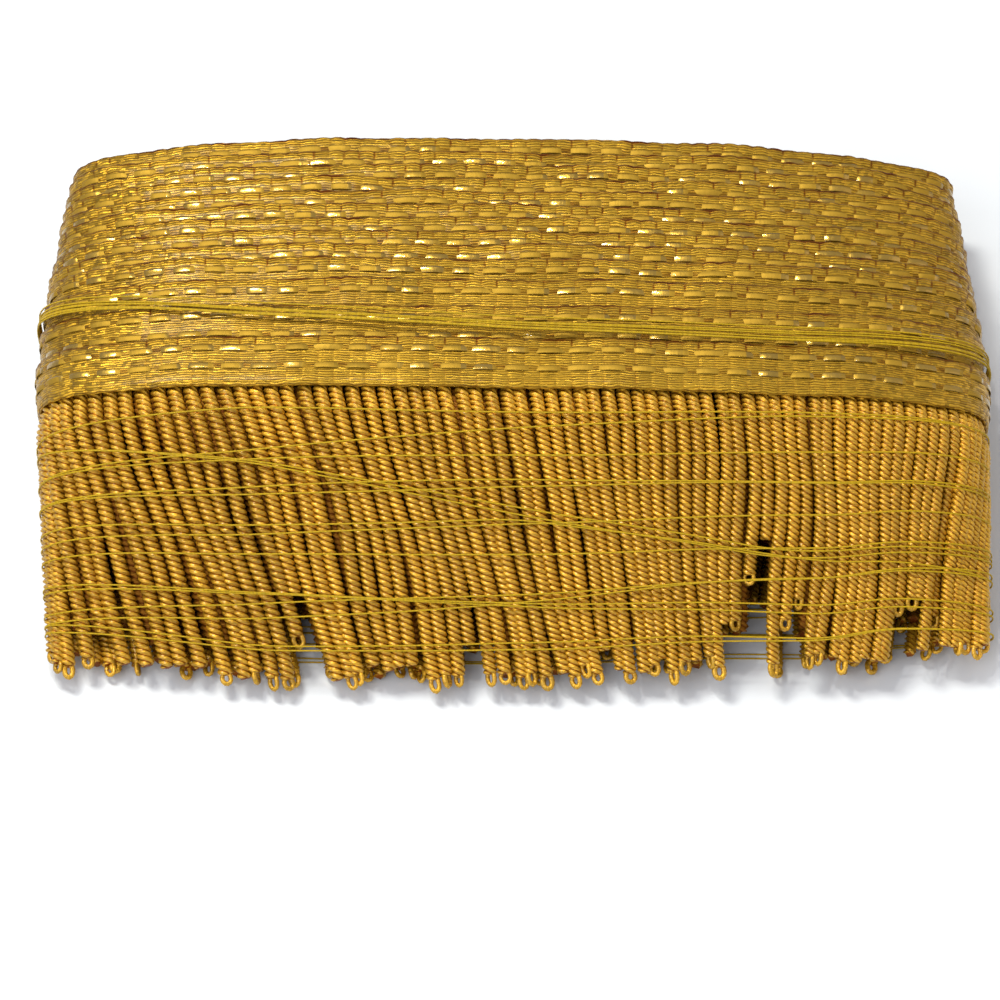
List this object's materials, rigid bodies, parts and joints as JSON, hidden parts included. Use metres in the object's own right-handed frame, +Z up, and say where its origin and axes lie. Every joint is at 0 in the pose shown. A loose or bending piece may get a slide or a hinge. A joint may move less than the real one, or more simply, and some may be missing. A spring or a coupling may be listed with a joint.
{
  "type": "bullion fringe trim wound in a flat bundle",
  "caption": "Metallic gold fringe trim with a woven heading and a skirt of twisted cords, wound turn on turn into a flat oval bundle that lies on its side.",
  "frame": {"origin": "middle of the bundle's footprint, on the surface that it lies on", "axes": "+X along the bundle, +Y from the cord tips towards the far end of the winding, +Z up"},
  "size_m": [0.166, 0.1064, 0.036],
  "materials": {
    "heading": "woven metallised gimp and flat metallised strips",
    "bullion": "twisted metallised gimp cord"
  },
  "bodies": {
    "root": {"heading_roll": "heading", "skirt_core": "bullion", "bullion_outer": "bullion"}
  },
  "joints": []
}
